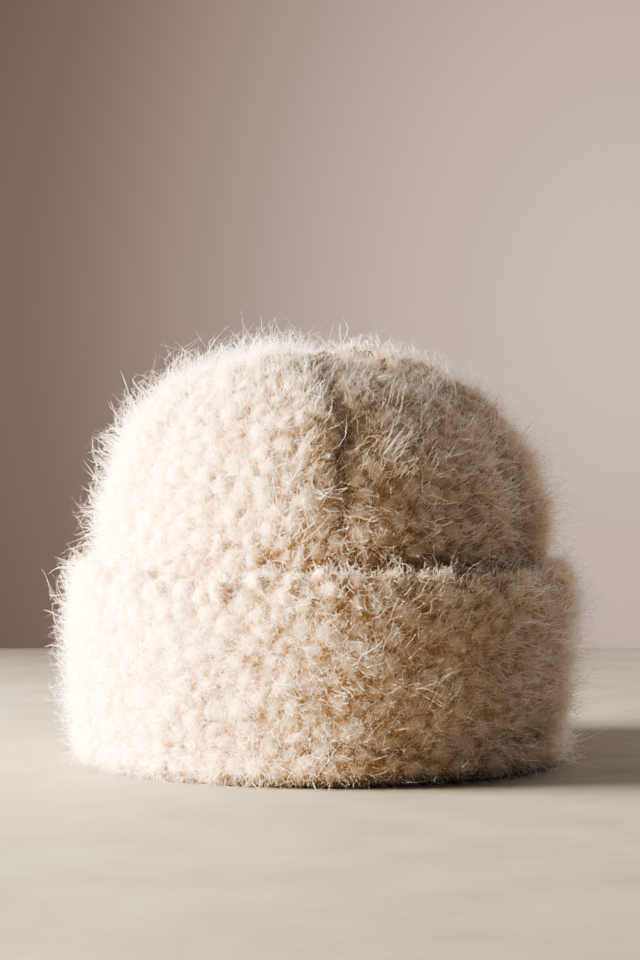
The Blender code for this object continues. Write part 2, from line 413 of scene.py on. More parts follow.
print("a puff is", PUFF_PITCH / MM, "mm wide and", PUFF_HEIGHT / MM, "mm high")

# %% [markdown]
# ## A wall as rings
#
# A wall is built ring by ring: up its outer face and back along its inner one. Rings near the
# top of the crown have fewer points, so that the faces stay about square. Each point also
# gets the numbers that the hair needs: the way it lies, how much of it grows there, and how
# long it is.

# %% Define the wall builder
LEAST_COLUMNS = 6
CROWDED = 0.55


def columns_at(radius, most, pitch):
    """The most columns at that radius, halved while they would crowd."""
    count = most
    while count > LEAST_COLUMNS and 2 * math.pi * radius / count < CROWDED * pitch:
        count //= 2
    return count


class Wall:
    """Rings of points with their outward and uphill directions, and the faces between them."""

    def __init__(self):
        self.points, self.normals, self.uphill, self.azimuths, self.faces = [], [], [], [], []
        self.last = None
        self.count = 0

    def ring(self, surface, radius, height, out, up, columns, flip=1.0):
        azimuth = FIRST_SEAM + np.arange(columns) * 2 * math.pi / columns
        level = np.stack([np.sin(azimuth), -np.cos(azimuth), 0 * azimuth], axis=1)
        rise = np.array([0.0, 0.0, 1.0])
        self.points.append(surface(radius, height, out, up, azimuth))
        self.normals.append(flip * (level * out + rise * up))
        self.uphill.append(rise * out - level * up)
        self.azimuths.append(azimuth)
        here = list(range(self.count, self.count + columns))
        self.count += columns
        if self.last is not None:
            self.join(self.last, here)
        self.last = here
        return here

    def join(self, first, second):
        """Faces between two rings, either of which may have several points for one of the other."""
        if len(first) < len(second):
            step = len(second) // len(first)
            for k in range(len(first)):
                edge = [second[(k * step + i) % len(second)] for i in range(step, -1, -1)]
                self.faces.append([first[k], first[(k + 1) % len(first)], *edge])
            return
        step = len(first) // len(second)
        for k in range(len(second)):
            edge = [first[(k * step + i) % len(first)] for i in range(step + 1)]
            self.faces.append([*edge, second[(k + 1) % len(second)], second[k]])

    def arrays(self):
        return (np.concatenate(a) for a in (self.points, self.normals, self.uphill, self.azimuths))


def knit_mesh(name, points, faces, attributes):
    mesh = bpy.data.meshes.new(name)
    mesh.from_pydata(points.tolist(), [], faces)
    for key, values in attributes.items():
        kind, field = ("FLOAT_VECTOR", "vector") if values.ndim == 2 else ("FLOAT", "value")
        layer = mesh.attributes.new(key, kind, "POINT")
        layer.data.foreach_set(field, values.astype(np.float32).ravel())
    mesh.shade_smooth()
    mesh.update()
    piece = bpy.data.objects.new(name, mesh)
    bpy.context.scene.collection.objects.link(piece)
    return piece


print("a ring halves its columns when they are under", CROWDED, "of their pitch apart")

# %% [markdown]
# ## How the hair lies
#
# Hair leaves the knit straight out and then lies over, up the hat and a little to the right,
# as if a hand had stroked it. At the foot it hangs down instead. It also fans out from the
# middle of its puff, which keeps the puffs apart. Slow swirls change that from place to place,
# so that wisps cross here and part there. On the right of the hat it is longer, where nothing
# has pressed it.

# %% Work out the lie of the hair
UPWARD = 0.45
RIGHTWARD = 0.3
OFF_PUFF = 0.75
DOWN_AT_FOOT = -0.4
HANGS_UNDER = 26 * MM
SWIRL = 0.5
SWIRL_SIZE = 15 * MM
UPHILL_PHASE = 0.4
SIDEWAYS_PHASE = 2.9
SHORTEST = 0.88
LONGER_ON_RIGHT = 0.30
RIGHT_STARTS = -20 * MM
RIGHT_FULL = 80 * MM


def swirl(points, phase):
    """A slow wave over the hat, from -1 to 1."""
    x, y, z = (points / SWIRL_SIZE).T
    return np.sin(x + 1.7 * np.sin(0.9 * z + phase)) * np.cos(1.1 * z + 0.8 * y + 1.3 * phase)


def shaggy(points):
    """The share of a coat's length that the hair has at each point."""
    return SHORTEST + LONGER_ON_RIGHT * smooth_step(points[:, 0], RIGHT_STARTS, RIGHT_FULL)


def unit(vectors):
    return vectors / np.linalg.norm(vectors, axis=1)[:, None]


def hair_lie(points, normals, uphill, off_puff):
    side = np.cross(uphill, normals)
    hanging = 1.0 - smooth_step(points[:, 2], 0.0, HANGS_UNDER)
    along = UPWARD + (DOWN_AT_FOOT - UPWARD) * hanging
    along = along + SWIRL * swirl(points, UPHILL_PHASE)
    across = RIGHTWARD + SWIRL * swirl(points, SIDEWAYS_PHASE)
    away = off_puff / PUFF_PITCH
    return unit(normals + uphill * along[:, None] + side * across[:, None] + OFF_PUFF * away)


print("hair leans", UPWARD, "uphill and", RIGHTWARD, "to the right for each 1 that it rises")

# %% [markdown]
# ## The crown
#
# The crown stands in the cuff, so its outer face is puffed and hairy only where it shows. The
# lining is the same knit seen from behind, with low ridges and a thin nap. Hair is thinner in
# the crease over the cuff's rim and in the seams, and painted shade darkens them, the crease
# most on the right of the hat, which faces away from the lamp. Hair is also shorter on the
# right of the top.

# %% Build the crown's knit
KNIT_STEP = 1.5 * MM
LINING_STEP = 4.5 * MM
CROWN_COLUMNS = 384
LINING_COLUMNS = 192
RIM_HEIGHT = CUFF_PROFILE[-1].height
LINING_RIDGE = 0.5 * MM
LINING_RIDGES = 96
LINING_SUNK = 0.45
LINING_NAP = 0.12
LINING_REACH = 0.4
CROWN_PUFFS = 0.88
# Painted shade along the seams and in the crease over the cuff's rim.
SEAM_PAINTED_SHADE = 0.7
SEAM_SHADE_WIDTH = 3.6 * MM
CREASE_PAINTED_SHADE = 0.7
CREASE_HEIGHT = 13 * MM
BARE_WHERE_DARK = 0.7
SHORT_WHERE_DARK = 0.2
GAP_GROWTH = 0.2
GAP_SHARE = 0.75
SHORT_AT_TOP = 0.4
CREASE_REACH = 0.5
CREASE_REACH_ENDS = 14 * MM
OPEN_REACH = 0.4
LOWEST_TUFT = 0.8
TUFT_SPREAD = 0.4


def how_sunk(inside_puff):
    """From 1 in the middle of a gap to 0 on a puff."""
    return 1.0 - smooth_step(inside_puff, 0.0, GAP_SHARE)


def crown_knit(rng):
    wall = Wall()
    outside = dome_section(KNIT_STEP, 0.0)
    hidden = outside.height < RIM_HEIGHT - 12 * MM
    first = int(np.argmin(hidden))
    stations = [0, *range(first, len(outside.radius) - 1)]
    for k in stations:
        r, z, out, up = (float(part[k]) for part in outside)
        columns = columns_at(r, CROWN_COLUMNS, KNIT_STEP)
        ring = wall.ring(crown_surface, r, z, out, up, columns)
        foot = ring if k == 0 else foot
    wall.faces.append(wall.last)
    outer_count = wall.count

    inside = dome_section(LINING_STEP, WALL)
    wall.last = None
    for k in range(len(inside.radius) - 1):
        r, z, out, up = (float(part[k]) for part in inside)
        columns = columns_at(r, LINING_COLUMNS, LINING_STEP)
        ring = wall.ring(crown_lining, r, z, out, up, columns, -1.0)
        lining_foot = ring if k == 0 else lining_foot
    wall.faces.append(wall.last)
    wall.join(foot, lining_foot)

    points, normals, uphill, azimuth = wall.arrays()
    is_outer = np.arange(len(points)) < outer_count
    rows = dome_section(PUFF_PITCH, 0.0)
    centres = puff_centres(rows, crown_surface, rng, 0.2, lambda r, z: z > RIM_HEIGHT - 14 * MM)
    inside_puff, tone, off_puff = puff_field(points, centres, rng)
    shown = is_outer * smooth_step(points[:, 2], RIM_HEIGHT - 6 * MM, RIM_HEIGHT + 2 * MM)
    raised = CROWN_PUFFS * shown * puff_rise(points, inside_puff, tone, off_puff)
    ridge = (1 - is_outer) * LINING_RIDGE * np.cos(azimuth * LINING_RIDGES)
    ridge = ridge * np.cos(points[:, 2] / (3 * MM))
    points = points + normals * (raised + ridge)[:, None]

    height = points[:, 2]
    turned = azimuth + seam_wander(height)
    distance = seam_distance(np.hypot(points[:, 0], points[:, 1]), turned)
    # Painted shade: the seams and the crease over the rim are darkened, the crease most on the right,
    # which faces away from the lamp.
    by_seam = np.exp(-((distance / SEAM_SHADE_WIDTH) ** 2)) * seam_share(turned)
    by_seam = by_seam * smooth_step(height, VALLEY_STARTS, VALLEY_FULL)
    over_rim = smooth_step(height, RIM_HEIGHT - 2 * MM, RIM_HEIGHT + CREASE_REACH_ENDS)
    crease = 1.0 - smooth_step(height, RIM_HEIGHT, RIM_HEIGHT + CREASE_HEIGHT)
    crease = crease * on_right(azimuth)
    deep = np.clip(np.maximum(SEAM_PAINTED_SHADE * by_seam, CREASE_PAINTED_SHADE * crease), 0.0, 1.0)
    near_top = SHORT_AT_TOP * smooth_step(points[:, 0], -15 * MM, 30 * MM)
    near_top = 1.0 - near_top * smooth_step(height, 125 * MM, 160 * MM)
    tuft = (LOWEST_TUFT + TUFT_SPREAD * tone) * shaggy(points)
    on_puff = GAP_GROWTH + (1.0 - GAP_GROWTH) * inside_puff
    growth = shown * (1.0 - BARE_WHERE_DARK * deep) * on_puff
    reach = (CREASE_REACH + OPEN_REACH * over_rim) * (1.0 - SHORT_WHERE_DARK * deep)
    off_puff[~is_outer] = 0.0
    attributes = {
        "sunk": np.where(is_outer, how_sunk(inside_puff), LINING_SUNK),
        # The deep number holds this painted shade for the material.
        "deep": np.where(is_outer, deep, 0.0),
        "tone": tone,
        "lie": hair_lie(points, normals, uphill, off_puff),
        "growth": growth + (1 - is_outer) * LINING_NAP,
        "reach": np.where(is_outer, reach * near_top * tuft, LINING_REACH),
    }
    return knit_mesh("crown_knit", points, wall.faces, attributes)


rng = np.random.default_rng(7)
crown = crown_knit(rng)
print("crown", len(crown.data.polygons), "faces")

# %% [markdown]
# ## The cuff
#
# The cuff is a band on a fold. Its section goes up the outer face, over the rim, down behind
# it to the fold's inner leg, and back under to the flat ring that the hat rests on. Nothing
# of it may go under the floor, so the puffs fade out at the ring. They are tallest at the rim,
# where the hair leans outward over the edge. Painted shade darkens the crease over the roll
# and the foot under it.

# %% Build the cuff's knit
CUFF_COLUMNS = 432
FOOT_EDGE = 2.5 * MM
RIM_INNER_DROP = 2.2 * MM
RIM_OUTWARD = 0.7
RIM_STARTS = 64 * MM
RIM_FULL = 75 * MM
BAND_PUFFS = 0.64
RIM_PUFFS = 0.68
# Painted shade in the crease over the roll and at the foot under it.
ROLL_PAINTED_SHADE = 0.7
ROLL_HEIGHT = 14 * MM
ROLL_WIDTH = 2.6 * MM
FOOT_PAINTED_SHADE = 0.8
FOOT_SHADE_STARTS = 1.5 * MM
FOOT_SHADE_ENDS = 7.0 * MM
ROOTS_FULL = 5.0 * MM
BAND_GAP_GROWTH = 0.45
THINNER_AT_RIM = 0.35
BAND_REACH = 0.68
SHORTER_AT_RIM = 0.06
LOWEST_BAND_TUFT = 0.75
BAND_TUFT_SPREAD = 0.5


def straight(radius, height, out, up, azimuth):
    return placed(radius, height + 0 * azimuth, azimuth)


def cuff_knit(rng):
    wall = Wall()
    outside = section_along(*curve_through(CUFF_PROFILE), KNIT_STEP)
    behind = CROWN_RADIUS + GAP
    leg = CROWN_RADIUS - WALL
    for r, z, out, up in zip(*outside):
        ring = wall.ring(cuff_surface, r, z, out, up, CUFF_COLUMNS)
        first = ring if wall.count == CUFF_COLUMNS else first
    outer_count = wall.count
    plain_rings = (
        (behind, RIM_HEIGHT - RIM_INNER_DROP, -0.5, 0.85),
        (behind, FOOT_HEIGHT, -1.0, 0.0),
        (leg, FOOT_HEIGHT, -0.7, 0.7),
        (leg, FOOT_HEIGHT / 2, -1.0, 0.0),
        (leg, FOOT_EDGE, -0.9, -0.4),
        (leg + FOOT_EDGE, 0.0, -0.4, -0.9),
    )
    for r, z, out, up in plain_rings:
        wall.ring(straight, r, z, out, up, CUFF_COLUMNS)
    wall.join(wall.last, first)

    points, normals, uphill, azimuth = wall.arrays()
    is_outer = np.arange(len(points)) < outer_count
    rows = section_along(*curve_through(CUFF_PROFILE), PUFF_PITCH)
    centres = puff_centres(rows, cuff_surface, rng, 0.5, lambda r, z: True)
    inside_puff, tone, off_puff = puff_field(points, centres, rng)
    shown = is_outer * smooth_step(points[:, 2], 0.0, 5 * MM)
    at_rim = smooth_step(points[:, 2], RIM_STARTS, RIM_FULL)
    raised = shown * puff_rise(points, inside_puff, tone, off_puff) * (BAND_PUFFS + RIM_PUFFS * at_rim)
    points = points + normals * raised[:, None]
    points[:, 2] = np.maximum(points[:, 2], 0.0)
    off_puff[~is_outer] = 0.0
    height = points[:, 2]
    rooted = is_outer * smooth_step(height, 0.0, ROOTS_FULL)
    # Painted shade over the roll's crease and at the foot.
    over_roll = ROLL_PAINTED_SHADE * np.exp(-(((height - ROLL_HEIGHT) / ROLL_WIDTH) ** 2))
    at_foot = 1.0 - smooth_step(height, FOOT_SHADE_STARTS, FOOT_SHADE_ENDS)
    outward = placed(np.ones(len(points)), 0.0 * azimuth, azimuth)
    lie = hair_lie(points, normals, uphill, off_puff)
    lie = unit(lie + RIM_OUTWARD * at_rim[:, None] * outward)
    on_puff = BAND_GAP_GROWTH + (1.0 - BAND_GAP_GROWTH) * inside_puff
    reach = BAND_REACH - SHORTER_AT_RIM * smooth_step(height, 66 * MM, 78 * MM)
    reach = reach * (LOWEST_BAND_TUFT + BAND_TUFT_SPREAD * tone)
    attributes = {
        "sunk": np.where(is_outer, how_sunk(inside_puff), LINING_SUNK),
        # The deep number holds this painted shade for the material.
        "deep": np.maximum(over_roll * (1.0 - inside_puff), FOOT_PAINTED_SHADE * is_outer * at_foot),
        "tone": tone,
        "lie": lie,
        "growth": rooted * on_puff * (1.0 - THINNER_AT_RIM * at_rim),
        "reach": reach * shaggy(points),
    }
    return knit_mesh("cuff_knit", points, wall.faces, attributes)


cuff = cuff_knit(rng)
print("cuff", len(cuff.data.polygons), "faces")

# %% [markdown]
# ## One hair
#
# A hair is a narrow ribbon that ends in a point. It has two numbers at each point, how far
# along it is and how far across, and the tree below bends it by them. Lint is one straight
# step, curly fuzz takes two, a wisp three, and a long stray hair five, so that it curves well.

# %% Make the hair shapes
TAPER = 0.75


def hair_shape(name, steps):
    points, across = [], []
    for t in (k / steps for k in range(steps)):
        half = 0.5 * (1.0 - TAPER * t**2)
        points += [(-half, 0.0, t), (half, 0.0, t)]
        across += [-half, half]
    points.append((0.0, 0.0, 1.0))
    across.append(0.0)
    faces = [(2 * k, 2 * k + 1, 2 * k + 3, 2 * k + 2) for k in range(steps - 1)]
    faces.append((2 * steps - 2, 2 * steps - 1, 2 * steps))
    mesh = bpy.data.meshes.new(name)
    mesh.from_pydata(points, [], faces)
    for key, values in (("along", [p[2] for p in points]), ("across", across)):
        mesh.attributes.new(key, "FLOAT", "POINT").data.foreach_set("value", values)
    return bpy.data.objects.new(name, mesh)


lint_hair = hair_shape("lint_hair", 1)
short_hair = hair_shape("short_hair", 2)
long_hair = hair_shape("long_hair", 3)
stray_hair = hair_shape("stray_hair", 5)
print("a stray hair has", len(stray_hair.data.polygons), "faces")

# %% [markdown]
# ## A coat of hair, by Geometry Nodes
#
# Points are scattered over the knit where hair grows. Each gets its own root, knee and tip: it
# rises from the knit, bends at the knee and reaches for its tip. Hairs near one another share a
# wisp: their tips are drawn towards the wisp's own tip, and they curl together, to the same
# side. The hair shape is then placed on every point and bent along that path, which a quadratic
# Bezier curve gives. The numbers are stored on the points, pass to the hairs, and are read back
# once the instances are made real.

# %% Build the coat's node tree
FUR_INPUTS = {
    "hair": "Object",
    "hairs per m2": "Float",
    "tufted": "Float",
    "wisps per m2": "Float",
    "length": "Float",
    "width": "Float",
    "stray": "Float",
    "gather": "Float",
    "loose": "Float",
    "curl": "Float",
    "floor": "Float",
    "seed": "Int",
    "finish": "Material",
}
CURL_TURNS = 4.5
PHASE_RANGE = 9.0
OWN_PHASE = 0.03
HAIR_LENGTHS = (0.42, 1.4)
WISP_LENGTHS = (0.6, 1.4)
WISP_SPREAD = 0.85
GATHERED = (0.55, 1.0)
KNEE_HEIGHT = 0.55
KNEE_SPREAD = 0.6
KNEE_GATHER = 0.6
OWN_SIDE = 0.3


def named(tree, name, kind):
    node = add_node(tree, "GeometryNodeInputNamedAttribute", {"Name": name}, data_type=kind)
    return node.outputs["Attribute"]


def kept_on(tree, geometry, name, value, kind, domain="POINT"):
    sockets = {"Geometry": geometry, "Name": name, "Value": value}
    node = add_node(tree, "GeometryNodeStoreNamedAttribute", sockets, data_type=kind, domain=domain)
    return node.outputs["Geometry"]


def random_number(tree, low, high, seed):
    sockets = {2: low, 3: high, "Seed": seed}
    return add_node(tree, "FunctionNodeRandomValue", sockets, data_type="FLOAT").outputs[1]


def mostly_short(tree, low, high, seed):
    """A number between two, near the lower one for most hairs."""
    share = random_number(tree, 0.0, 1.0, seed)
    return scalar(tree, "MULTIPLY_ADD", scalar(tree, "POWER", share, 2.0), high - low, low)


def random_direction(tree, seed):
    sockets = {0: (-1.0, -1.0, -1.0), 1: (1.0, 1.0, 1.0), "Seed": seed}
    return add_node(tree, "FunctionNodeRandomValue", sockets, data_type="FLOAT_VECTOR").outputs[0]


def fur_tree():
    tree = bpy.data.node_groups.new("coat_of_hair", "GeometryNodeTree")
    tree.interface.new_socket("Knit", in_out="INPUT", socket_type="NodeSocketGeometry")
    for name, kind in FUR_INPUTS.items():
        tree.interface.new_socket(name, in_out="INPUT", socket_type="NodeSocket" + kind)
    tree.interface.new_socket("Coat", in_out="OUTPUT", socket_type="NodeSocketGeometry")
    given = tree.nodes.new("NodeGroupInput").outputs

    def seeded(step):
        return scalar(tree, "ADD", given["seed"], step)

    growth = scalar(tree, "POWER", named(tree, "growth", "FLOAT"), given["tufted"])
    density = scalar(tree, "MULTIPLY", growth, given["hairs per m2"])
    sown = {"Mesh": given["Knit"], "Density": density, "Seed": given["seed"]}
    hairs = add_node(tree, "GeometryNodeDistributePointsOnFaces", sown)
    sown = {"Mesh": given["Knit"], "Density": given["wisps per m2"], "Seed": seeded(1)}
    wisps = add_node(tree, "GeometryNodeDistributePointsOnFaces", sown)

    place = tree.nodes.new("GeometryNodeInputPosition").outputs[0]
    lie = named(tree, "lie", "FLOAT_VECTOR")
    length = scalar(tree, "MULTIPLY", given["length"], named(tree, "reach", "FLOAT"))
    own_length = scalar(tree, "MULTIPLY", length, mostly_short(tree, *HAIR_LENGTHS, seeded(2)))

    wisp_way = vector(tree, "ADD", lie, scaled(tree, random_direction(tree, seeded(3)), WISP_SPREAD))
    wisp_length = scalar(tree, "MULTIPLY", length, mostly_short(tree, *WISP_LENGTHS, seeded(9)))
    wisp_tip = vector(tree, "ADD", place, scaled(tree, wisp_way, wisp_length))
    among = {"Geometry": wisps.outputs["Points"]}
    nearest = add_node(tree, "GeometryNodeSampleNearest", among).outputs["Index"]

    def of_wisp(value, kind):
        sockets = {"Geometry": wisps.outputs["Points"], "Value": value, "Index": nearest}
        return add_node(tree, "GeometryNodeSampleIndex", sockets, data_type=kind).outputs[0]

    stray = scaled(tree, random_direction(tree, seeded(4)), given["stray"])
    aim = vector(tree, "NORMALIZE", vector(tree, "ADD", lie, stray))
    own_tip = vector(tree, "ADD", place, scaled(tree, aim, own_length))
    chance = random_number(tree, 0.0, 1.0, seeded(10))
    joins = scalar(tree, "GREATER_THAN", chance, given["loose"])
    closeness = scalar(tree, "MULTIPLY", joins, random_number(tree, *GATHERED, seeded(5)))
    gather = scalar(tree, "MULTIPLY", given["gather"], closeness)
    tip = mixed_vector(tree, gather, own_tip, of_wisp(wisp_tip, "FLOAT_VECTOR"))
    way = vector(tree, "NORMALIZE", vector(tree, "SUBTRACT", tip, place))

    aside = scaled(tree, random_direction(tree, seeded(6)), KNEE_SPREAD)
    rise = vector(tree, "ADD", hairs.outputs["Normal"], aside)
    knee_height = scalar(tree, "MULTIPLY", own_length, KNEE_HEIGHT)
    own_knee = vector(tree, "ADD", place, scaled(tree, rise, knee_height))
    midway = scaled(tree, vector(tree, "ADD", place, tip), 0.5)
    knee = mixed_vector(tree, scalar(tree, "MULTIPLY", gather, KNEE_GATHER), own_knee, midway)
    wisp_side = of_wisp(random_direction(tree, seeded(7)), "FLOAT_VECTOR")
    own_side = scaled(tree, random_direction(tree, seeded(12)), OWN_SIDE)
    turned = vector(tree, "ADD", wisp_side, own_side)
    side = vector(tree, "NORMALIZE", vector(tree, "CROSS_PRODUCT", way, turned))
    facing = vector(tree, "NORMALIZE", vector(tree, "CROSS_PRODUCT", way, side))

    rooted = hairs.outputs["Points"]
    kept = {"root": place, "knee": knee, "tip": tip, "side": side, "facing": facing}
    for name, value in kept.items():
        rooted = kept_on(tree, rooted, name, value, "FLOAT_VECTOR")
    shade = random_number(tree, 0.0, 1.0, seeded(8))
    wisp_phase = of_wisp(random_number(tree, 0.0, 1.0, seeded(11)), "FLOAT")
    rooted = kept_on(tree, rooted, "shade", shade, "FLOAT")
    own_phase = scalar(tree, "MULTIPLY_ADD", shade, OWN_PHASE, wisp_phase)
    rooted = kept_on(tree, rooted, "phase", own_phase, "FLOAT")
    rooted = kept_on(tree, rooted, "size", own_length, "FLOAT")

    shape = add_node(tree, "GeometryNodeObjectInfo", {"Object": given["hair"]}).outputs["Geometry"]
    copies = add_node(tree, "GeometryNodeInstanceOnPoints", {"Points": rooted, "Instance": shape})
    real = add_node(tree, "GeometryNodeRealizeInstances", {"Geometry": copies.outputs["Instances"]})

    along = named(tree, "along", "FLOAT")
    across = named(tree, "across", "FLOAT")
    shade = named(tree, "shade", "FLOAT")
    left = scalar(tree, "SUBTRACT", 1.0, along)
    shares = (
        ("root", scalar(tree, "MULTIPLY", left, left)),
        ("knee", scalar(tree, "MULTIPLY", scalar(tree, "MULTIPLY", left, along), 2.0)),
        ("tip", scalar(tree, "MULTIPLY", along, along)),
    )
    path = scaled(tree, named(tree, shares[0][0], "FLOAT_VECTOR"), shares[0][1])
    for name, share in shares[1:]:
        path = vector(tree, "ADD", path, scaled(tree, named(tree, name, "FLOAT_VECTOR"), share))
    phase = scalar(tree, "MULTIPLY", named(tree, "phase", "FLOAT"), PHASE_RANGE)
    turn = scalar(tree, "MULTIPLY", scalar(tree, "ADD", along, phase), CURL_TURNS)
    swing = scalar(tree, "MULTIPLY", along, given["curl"])
    sway = scalar(tree, "MULTIPLY", scalar(tree, "SINE", turn), swing)
    curl = scalar(tree, "MULTIPLY", sway, named(tree, "size", "FLOAT"))
    path = vector(tree, "ADD", path, scaled(tree, named(tree, "facing", "FLOAT_VECTOR"), curl))
    width = scalar(tree, "MULTIPLY", across, given["width"])
    path = vector(tree, "ADD", path, scaled(tree, named(tree, "side", "FLOAT_VECTOR"), width))

    parts = add_node(tree, "ShaderNodeSeparateXYZ", {"Vector": path}).outputs
    over_floor = scalar(tree, "MAXIMUM", parts["Z"], given["floor"])
    over_table = {"X": parts["X"], "Y": parts["Y"], "Z": over_floor}
    path = add_node(tree, "ShaderNodeCombineXYZ", over_table).outputs[0]
    moved = {"Geometry": real.outputs[0], "Position": path}
    bent = add_node(tree, "GeometryNodeSetPosition", moved).outputs[0]

    column = scalar(tree, "MULTIPLY", shade, 0.9)
    column = scalar(tree, "ADD", column, scalar(tree, "MULTIPLY", across, 0.05))
    column = scalar(tree, "ADD", column, 0.05)
    row = scalar(tree, "ADD", scalar(tree, "MULTIPLY", along, 0.96), 0.02)
    map_place = add_node(tree, "ShaderNodeCombineXYZ", {"X": column, "Y": row}).outputs[0]
    mapped = kept_on(tree, bent, "OFBake", map_place, "FLOAT2", "CORNER")
    finish = {"Geometry": mapped, "Material": given["finish"]}
    dressed = add_node(tree, "GeometryNodeSetMaterial", finish)
    out = tree.nodes.new("NodeGroupOutput")
    plug(tree, dressed.outputs[0], out.inputs[0])
    return tree


coat_tree = fur_tree()
print("the coat's tree has", len(coat_tree.nodes), "nodes")

# %% [markdown]
# ## The finish of wool and hair
#
# Wool is matt, and light passes through thin hair, so each hair mixes a plain shader with a
# translucent one. The fibre is darker and warmer where it leaves the yarn, partly its own
# colour and partly painted shade deep in the coat, and nearly white at its tip. Each hair's
# map runs from root to tip one way and by its own shade the other way, so one small picture
# can hold the colours of them all.

# %% Make the materials
KNIT_FINISH = {
    "Roughness": 0.95,
    "Specular IOR Level": 0.15,
    "Sheen Weight": 0.4,
    "Sheen Roughness": 0.6,
}
HAIR_FINISH = {"Roughness": 0.55, "Specular IOR Level": 0.35}
HAIR_GLOW = 0.4
# Painted shade for the seams, the creases and the foot.
PAINTED_SHADE_BROWN = (0.26, 0.135, 0.065, 1.0)
# Partly the yarn's own browner colour in the gaps and partly painted shade there.
GAP_BROWN_AND_SHADE = (0.56, 0.32, 0.14, 1.0)
PUFF_TAN = (0.77, 0.572, 0.388, 1.0)
PUFF_CREAM = (0.93, 0.77, 0.60, 1.0)
# The root colours are partly the fibre's own and partly painted shade deep in the coat.
FUZZ_ROOT = (0.80, 0.612, 0.43, 1.0)
FUZZ_TIP = (0.965, 0.856, 0.715, 1.0)
WISP_ROOT = (0.88, 0.82, 0.75, 1.0)
WISP_TIP = (0.99, 0.978, 0.962, 1.0)


def number_on_knit(tree, name):
    return add_node(tree, "ShaderNodeAttribute", attribute_name=name).outputs["Fac"]


def knit_material():
    material, tree = new_material("brushed_yarn")
    where = add_node(tree, "ShaderNodeTexCoord").outputs["Object"]
    blotch = add_node(tree, "ShaderNodeTexNoise", {"Vector": where, "Scale": 260.0, "Detail": 3.0})
    curly = {"Vector": where, "Scale": 900.0, "Detail": 5.0, "Roughness": 0.7, "Distortion": 2.2}
    fibre = add_node(tree, "ShaderNodeTexNoise", curly)
    strands = ramp(tree, fibre.outputs["Fac"], 0.42, 0.66)
    tone = scalar(tree, "MULTIPLY", number_on_knit(tree, "tone"), 0.25)
    mixed = scalar(tree, "MULTIPLY_ADD", blotch.outputs["Fac"], 0.3, tone)
    mixed = scalar(tree, "MULTIPLY_ADD", strands, 0.5, mixed)
    puff = mixed_colour(tree, mixed, PUFF_TAN, PUFF_CREAM)
    uneven = scalar(tree, "ADD", blotch.outputs["Fac"], 0.45)
    # Painted shade in part: the gaps between puffs are mixed towards a browner colour.
    gap = scalar(tree, "MULTIPLY", number_on_knit(tree, "sunk"), uneven)
    colour = mixed_colour(tree, scalar(tree, "MINIMUM", gap, 1.0), puff, GAP_BROWN_AND_SHADE)
    # Painted shade where the deep number is high: seams, creases and the foot.
    colour = mixed_colour(tree, number_on_knit(tree, "deep"), colour, PAINTED_SHADE_BROWN)
    relief = {"Height": fibre.outputs["Fac"], "Strength": 0.9, "Distance": 0.9 * MM}
    bump = add_node(tree, "ShaderNodeBump", relief).outputs[0]
    sockets = {"Base Color": colour, "Normal": bump, **KNIT_FINISH}
    show_by(tree, add_node(tree, "ShaderNodeBsdfPrincipled", sockets).outputs[0])
    return material


def hair_material(name, root, tip):
    material, tree = new_material(name)
    own_map = add_node(tree, "ShaderNodeUVMap", uv_map="OFBake").outputs[0]
    parts = add_node(tree, "ShaderNodeSeparateXYZ", {"Vector": own_map}).outputs
    # Painted shade in part: each hair darkens towards its root.
    up_hair = scalar(tree, "POWER", parts["Y"], 0.7)
    colour = mixed_colour(tree, up_hair, root, tip)
    wave = scalar(tree, "SINE", scalar(tree, "MULTIPLY", parts["X"], 47.0))
    varied = scalar(tree, "MULTIPLY_ADD", wave, 0.16, 0.16)
    colour = mixed_colour(tree, varied, colour, root)
    shader = add_node(tree, "ShaderNodeBsdfPrincipled", {"Base Color": colour, **HAIR_FINISH})
    through = add_node(tree, "ShaderNodeBsdfTranslucent", {"Color": colour})
    shares = {0: HAIR_GLOW, 1: shader.outputs[0], 2: through.outputs[0]}
    show_by(tree, add_node(tree, "ShaderNodeMixShader", shares).outputs[0])
    return material


yarn = knit_material()
fuzz_finish = hair_material("fuzz_hair", FUZZ_ROOT, FUZZ_TIP)
wisp_finish = hair_material("wisp_hair", WISP_ROOT, WISP_TIP)
for piece in (crown, cuff):
    piece.data.materials.append(yarn)
print("materials", [m.name for m in (yarn, fuzz_finish, wisp_finish)])

# %% [markdown]
# ## Growing the coats
#
# Each knit gets four coats. Lint blurs its surface and curly fuzz hides the yarn, wisps stand
# out of the fuzz and show against the light, and a few long stray hairs cross them. How many
# hairs fit is set by the faces that a coat may have, so the density follows from that count and
# from the area where hair grows. A coat that is less tufted also grows in the gaps.

